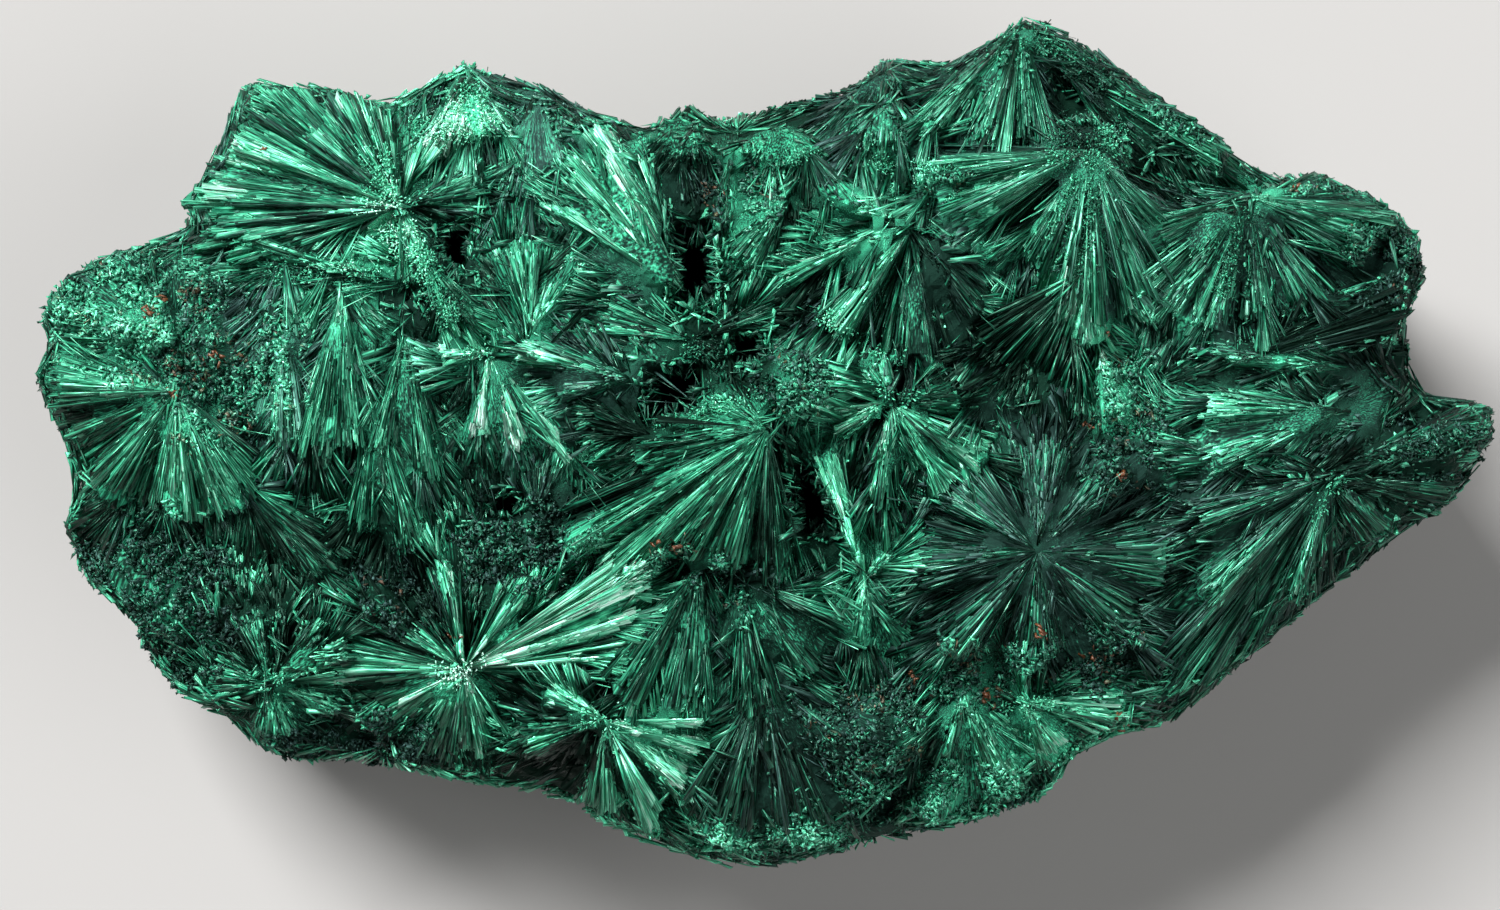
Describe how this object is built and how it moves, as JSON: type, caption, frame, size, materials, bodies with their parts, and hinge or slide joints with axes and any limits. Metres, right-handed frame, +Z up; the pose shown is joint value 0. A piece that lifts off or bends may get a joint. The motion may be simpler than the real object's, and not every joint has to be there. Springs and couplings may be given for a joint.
{
  "type": "fibrous malachite specimen",
  "caption": "Hand-sized broken lump of fibrous green malachite whose display face is crowded with radiating sprays, ridges and dark hollows.",
  "frame": {"origin": "centre of the specimen's length and breadth, on the plane it rests on", "axes": "+X along the length towards the pointed tail, +Y across the display face towards its far peak, +Z up out of the display face"},
  "size_m": [0.105, 0.0614, 0.0378],
  "materials": {
    "malachite_specimen": "silky fibrous green mineral, near black in its hollows, with a few rusty specks"
  },
  "bodies": {
    "root": {"malachite_specimen": "malachite_specimen"}
  },
  "joints": []
}
